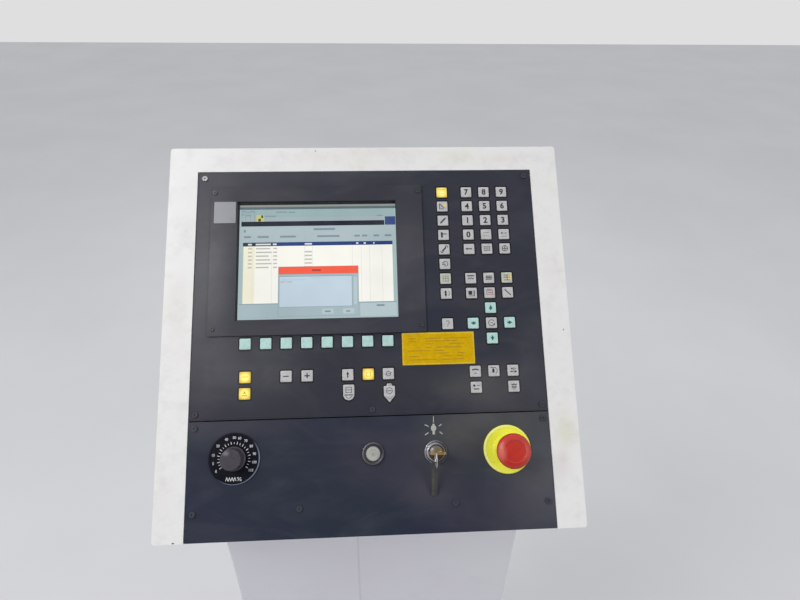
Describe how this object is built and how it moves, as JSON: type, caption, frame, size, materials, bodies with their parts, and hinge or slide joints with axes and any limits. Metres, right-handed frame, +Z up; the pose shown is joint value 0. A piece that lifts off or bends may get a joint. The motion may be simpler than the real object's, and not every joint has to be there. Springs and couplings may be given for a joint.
{
  "type": "machine tool operator console",
  "caption": "Free-standing operator console with a raked control head, display, keypad, rotary override, key switch and mushroom emergency stop on a floor column.",
  "frame": {"origin": "on the floor, under the centre of the console's bounding box", "axes": "+Z up, -Y towards the operator, +X to the operator's right"},
  "size_m": [0.53, 0.454, 1.3592],
  "materials": {
    "white_paint": "satin powder coat",
    "column_paint": "satin powder coat",
    "dark_panel": "fine-textured anthracite coat",
    "foil": "matt polyester keypad foil",
    "board": "solder mask",
    "steel": "zinc plated",
    "black_steel": "black oxide",
    "chrome_ring": "satin chrome",
    "glass": "anti-glare",
    "rubber": "foam rubber",
    "display": "lit screen in a metal frame",
    "plate_metal": "brushed",
    "yellow_label": "printed film",
    "black_plastic": "moulded",
    "lens": "frosted lens",
    "key_brass": "nickel silver",
    "tag_grey": "soft strap",
    "estop_yellow": "moulded",
    "estop_red": "moulded",
    "zinc": "zinc plated sheet",
    "grey_plastic": "moulded",
    "cable": "cable sheath",
    "base_paint": "satin grey"
  },
  "bodies": {
    "console": {"head_shell": "white_paint", "panel_crossbar": "zinc", "upper_panel": "dark_panel", "lower_panel": "dark_panel", "key_overlay": "foil", "keypad_board": "board", "machine_key_board": "board", "display_bezel": "dark_panel", "display_window": "glass", "display_gasket": "rubber", "display_module": "display", "panel_screws": "steel", "bezel_screws": "black_steel", "nameplate": "plate_metal", "notice_plate": "yellow_label", "dial_plate": "black_plastic", "dial_switch": "black_plastic", "dial_nut": "steel", "button_body": "chrome_ring", "button_contacts": "black_plastic", "key_body": "chrome_ring", "key_contacts": "black_plastic", "estop_plate": "estop_yellow", "estop_body": "estop_yellow", "estop_contacts": "black_plastic", "ring_nuts": "black_plastic", "mounting_plate": "zinc", "control_computer": "plate_metal", "power_supply": "plate_metal", "din_rail": "zinc", "terminal_blocks": "grey_plastic", "wiring_duct": "grey_plastic", "control_loom": "cable", "display_cable": "cable", "fan_housing": "black_plastic", "hinge_fixed": "steel", "hinge_pins": "steel", "pedestal_column": "column_paint", "column_cover": "column_paint", "cover_screws": "steel", "base_plate": "base_paint", "head_bolts": "steel", "gland_plate": "zinc", "cable_glands": "black_plastic"},
    "dial": {"dial_knob": "black_plastic", "dial_shaft": "steel"},
    "button": {"button_lens": "lens"},
    "key_switch": {"key_rotor": "chrome_ring", "switch_key": "key_brass", "key_ring": "steel"},
    "tag": {"key_tag": "tag_grey"},
    "estop_plunger": {"estop_stem": "black_plastic"},
    "estop_head": {"estop_mushroom": "estop_red"},
    "fan": {"fan_rotor": "black_plastic"},
    "door": {"rear_door": "white_paint", "door_gasket": "rubber", "hinge_moving": "steel", "door_lock": "chrome_ring"},
    "lock": {"lock_cam": "steel"}
  },
  "joints": [
    {"name": "dial_turn", "type": "hinge", "parent": "console", "child": "dial", "pos_m": [-0.1696, -0.15841, 1.06859], "axis": [0, -0.7071, 0.7071], "range_deg": [-67.5, 180]},
    {"name": "button_press", "type": "slide", "parent": "console", "child": "button", "axis": [0, 0.7071, -0.7071], "range_m": [0, 0.003], "stiffness_N_per_m": 400, "springref_m": -0.002},
    {"name": "key_turn", "type": "hinge", "parent": "console", "child": "key_switch", "pos_m": [0.0799, -0.15869, 1.06831], "axis": [0, 0.7071, -0.7071], "range_deg": [0, 90]},
    {"name": "tag_swing", "type": "hinge", "parent": "key_switch", "child": "tag", "pos_m": [0.0773, -0.18061, 1.07033], "axis": [0, -0.7071, 0.7071], "range_deg": [0, 90]},
    {"name": "estop_push", "type": "slide", "parent": "console", "child": "estop_plunger", "axis": [0, 0.7071, -0.7071], "range_m": [0, 0.0045]},
    {"name": "estop_twist", "type": "hinge", "parent": "estop_plunger", "child": "estop_head", "pos_m": [0.1706, -0.15827, 1.06873], "axis": [0, 0.7071, -0.7071], "range_deg": [0, 30], "stiffness_Nm_per_rad": 0.05},
    {"name": "fan_spin", "type": "hinge", "parent": "console", "child": "fan", "pos_m": [-0.24, 0.108, 1.1515], "axis": [1, 0, 0], "continuous": true},
    {"name": "door_swing", "type": "hinge", "parent": "console", "child": "door", "pos_m": [0.254, 0.2194, 1.12], "axis": [0, 0, -1], "range_deg": [0, 115]},
    {"name": "lock_turn", "type": "hinge", "parent": "door", "child": "lock", "pos_m": [-0.224, 0.21, 1.126], "axis": [0, -1, 0], "range_deg": [0, 90]}
  ],
  "couplings": [
    {"joint": "tag_swing", "follows": "key_turn", "ratio": 1}
  ]
}
